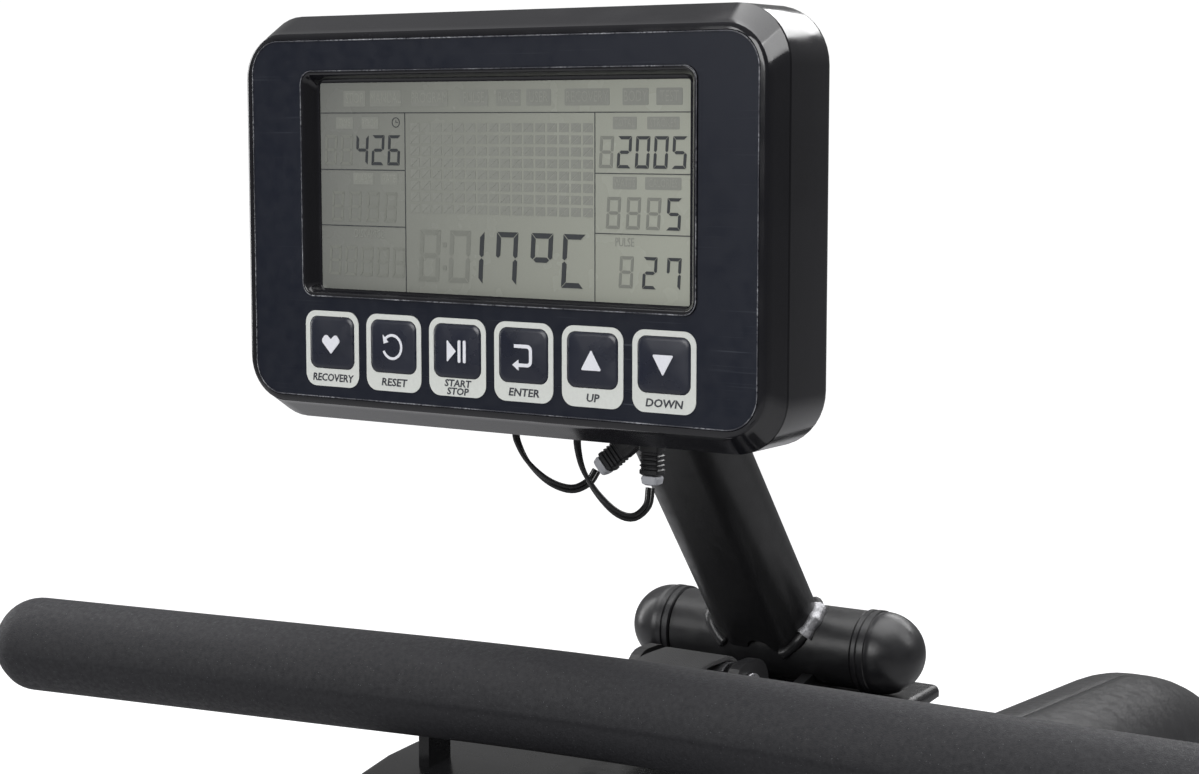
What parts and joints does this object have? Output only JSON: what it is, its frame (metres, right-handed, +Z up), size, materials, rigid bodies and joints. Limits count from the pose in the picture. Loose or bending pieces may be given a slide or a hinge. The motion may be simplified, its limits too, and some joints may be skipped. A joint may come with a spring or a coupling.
{
  "type": "rowing machine",
  "caption": "Monorail rowing machine with a strap drive, a braked flywheel in a slim housing, a rolling seat, pivoting footplates and a console on a leaning mast.",
  "frame": {"origin": "on the floor, under the middle of the machine's box", "axes": "+Y forwards to the flywheel, along the rail; +X to the rower's right; +Z up"},
  "size_m": [0.585, 2.1154, 0.978],
  "materials": {
    "black_coated_steel": "satin black powder coat",
    "plated_steel": "zinc plated",
    "cast_iron": "turned and oiled",
    "anodised_aluminium": "brushed and anodised",
    "gloss_black_plastic": "polished black moulding",
    "satin_black_plastic": "satin black moulding",
    "key_plastic": "satin navy black, white printed symbol",
    "grey_plastic": "plain grey moulding",
    "console_film": "navy black printed film, lightly scuffed",
    "lcd_glass": "grey green reflective display behind clear cover",
    "circuit_board": "green solder mask",
    "handle_foam": "fine closed cell foam, matte with small bright specks",
    "black_rubber": "matte black",
    "woven_webbing": "black plain woven webbing",
    "seat_padding": "black moulded polyurethane skin"
  },
  "bodies": {
    "frame": {"front_stabilizer": "black_coated_steel", "rear_leg": "black_coated_steel", "frame_plate_left": "black_coated_steel", "frame_plate_right": "black_coated_steel", "base_beam": "black_coated_steel", "crossbar": "black_coated_steel", "console_mast": "black_coated_steel", "console_bracket": "black_coated_steel", "handle_tray": "black_coated_steel", "pedal_bar": "plated_steel", "rail": "anodised_aluminium", "console_front_shell": "gloss_black_plastic", "console_rear_shell": "gloss_black_plastic", "crossbar_cap_left": "satin_black_plastic", "crossbar_cap_right": "satin_black_plastic", "rail_end_cap": "satin_black_plastic", "housing_left": "satin_black_plastic", "housing_right": "satin_black_plastic", "plug_left": "grey_plastic", "plug_right": "grey_plastic", "brake_motor": "grey_plastic", "console_overlay": "console_film", "lcd_panel": "lcd_glass", "console_board": "circuit_board", "front_foot_left": "black_rubber", "front_foot_right": "black_rubber", "rear_foot_left": "black_rubber", "rear_foot_right": "black_rubber", "lead_left": "black_rubber", "lead_right": "black_rubber", "drive_belt": "black_rubber"},
    "seat": {"seat_cushion": "seat_padding", "seat_carriage": "black_coated_steel"},
    "handle": {"handle_core": "plated_steel", "handle_grip": "handle_foam", "handle_bracket": "plated_steel", "strap": "woven_webbing"},
    "strap_reel": {"strap_reel": "grey_plastic"},
    "guide_roller": {"guide_roller": "plated_steel"},
    "drive_pulley": {"drive_pulley": "grey_plastic", "reel_shaft": "plated_steel"},
    "flywheel": {"flywheel": "cast_iron", "flywheel_shaft": "plated_steel"},
    "brake": {"brake_arm": "black_coated_steel"},
    "pedal_left": {"footplate_left": "satin_black_plastic", "foot_strap_left": "woven_webbing"},
    "pedal_right": {"footplate_right": "satin_black_plastic", "foot_strap_right": "woven_webbing"},
    "transport_wheel_left": {"transport_wheel_left": "grey_plastic"},
    "transport_wheel_right": {"transport_wheel_right": "grey_plastic"},
    "button_recovery": {"button_recovery": "key_plastic"},
    "button_reset": {"button_reset": "key_plastic"},
    "button_start": {"button_start": "key_plastic"},
    "button_enter": {"button_enter": "key_plastic"},
    "button_up": {"button_up": "key_plastic"},
    "button_down": {"button_down": "key_plastic"},
    "seat_wheel_front_top": {"seat_wheel_front_top": "black_rubber"},
    "seat_wheel_rear_top": {"seat_wheel_rear_top": "black_rubber"},
    "seat_wheel_front_bottom": {"seat_wheel_front_bottom": "black_rubber"},
    "seat_wheel_rear_bottom": {"seat_wheel_rear_bottom": "black_rubber"}
  },
  "joints": [
    {"name": "seat_slide", "type": "slide", "parent": "frame", "child": "seat", "axis": [0, -0.9994, 0.0349], "range_m": [0, 0.86]},
    {"name": "handle_pull", "type": "slide", "parent": "frame", "child": "handle", "axis": [0, -1, 0], "range_m": [0, 1.1], "stiffness_N_per_m": 20, "springref_m": -0.5, "deforming": ["strap"]},
    {"name": "flywheel_spin", "type": "hinge", "parent": "frame", "child": "flywheel", "pos_m": [0, 0.847, 0.393], "axis": [1, 0, 0], "continuous": true},
    {"name": "pulley_spin", "type": "hinge", "parent": "frame", "child": "drive_pulley", "pos_m": [0, 0.58, 0.4], "axis": [1, 0, 0], "continuous": true},
    {"name": "reel_spin", "type": "hinge", "parent": "frame", "child": "strap_reel", "pos_m": [0, 0.58, 0.4], "axis": [1, 0, 0], "continuous": true},
    {"name": "roller_spin", "type": "hinge", "parent": "frame", "child": "guide_roller", "pos_m": [0, 0.366, 0.699], "axis": [1, 0, 0], "continuous": true},
    {"name": "brake_swing", "type": "hinge", "parent": "frame", "child": "brake", "pos_m": [0, 0.80106, 0.22155], "axis": [1, 0, 0], "range_deg": [0, 8]},
    {"name": "pedal_tilt_left", "type": "hinge", "parent": "frame", "child": "pedal_left", "pos_m": [-0.132, 0.36, 0.15], "axis": [1, 0, 0], "range_deg": [-12, 15]},
    {"name": "pedal_tilt_right", "type": "hinge", "parent": "frame", "child": "pedal_right", "pos_m": [0.132, 0.36, 0.15], "axis": [1, 0, 0], "range_deg": [-12, 15]},
    {"name": "transport_wheel_spin_left", "type": "hinge", "parent": "frame", "child": "transport_wheel_left", "pos_m": [-0.19, 1.02, 0.032], "axis": [1, 0, 0], "continuous": true},
    {"name": "transport_wheel_spin_right", "type": "hinge", "parent": "frame", "child": "transport_wheel_right", "pos_m": [0.19, 1.02, 0.032], "axis": [1, 0, 0], "continuous": true},
    {"name": "press_recovery", "type": "slide", "parent": "frame", "child": "button_recovery", "axis": [0, 1, 0], "range_m": [0, 0.0008], "stiffness_N_per_m": 300},
    {"name": "press_reset", "type": "slide", "parent": "frame", "child": "button_reset", "axis": [0, 1, 0], "range_m": [0, 0.0008], "stiffness_N_per_m": 300},
    {"name": "press_start", "type": "slide", "parent": "frame", "child": "button_start", "axis": [0, 1, 0], "range_m": [0, 0.0008], "stiffness_N_per_m": 300},
    {"name": "press_enter", "type": "slide", "parent": "frame", "child": "button_enter", "axis": [0, 1, 0], "range_m": [0, 0.0008], "stiffness_N_per_m": 300},
    {"name": "press_up", "type": "slide", "parent": "frame", "child": "button_up", "axis": [0, 1, 0], "range_m": [0, 0.0008], "stiffness_N_per_m": 300},
    {"name": "press_down", "type": "slide", "parent": "frame", "child": "button_down", "axis": [0, 1, 0], "range_m": [0, 0.0008], "stiffness_N_per_m": 300},
    {"name": "seat_wheel_spin_front_top", "type": "hinge", "parent": "seat", "child": "seat_wheel_front_top", "pos_m": [0, 0.09192, 0.28312], "axis": [1, 0, 0], "continuous": true},
    {"name": "seat_wheel_spin_rear_top", "type": "hinge", "parent": "seat", "child": "seat_wheel_rear_top", "pos_m": [0, -0.04799, 0.28801], "axis": [1, 0, 0], "continuous": true},
    {"name": "seat_wheel_spin_front_bottom", "type": "hinge", "parent": "seat", "child": "seat_wheel_front_bottom", "pos_m": [0, 0.08799, 0.17059], "axis": [1, 0, 0], "continuous": true},
    {"name": "seat_wheel_spin_rear_bottom", "type": "hinge", "parent": "seat", "child": "seat_wheel_rear_bottom", "pos_m": [0, -0.05192, 0.17548], "axis": [1, 0, 0], "continuous": true}
  ],
  "couplings": [
    {"joint": "pulley_spin", "follows": "flywheel_spin", "ratio": 0.23529},
    {"joint": "reel_spin", "follows": "handle_pull", "rad_per_m": 22.075},
    {"joint": "roller_spin", "follows": "handle_pull", "rad_per_m": 75.188},
    {"joint": "seat_wheel_spin_front_top", "follows": "seat_slide", "rad_per_m": 62.5},
    {"joint": "seat_wheel_spin_rear_top", "follows": "seat_slide", "rad_per_m": 62.5},
    {"joint": "seat_wheel_spin_front_bottom", "follows": "seat_slide", "rad_per_m": -62.5},
    {"joint": "seat_wheel_spin_rear_bottom", "follows": "seat_slide", "rad_per_m": -62.5}
  ]
}
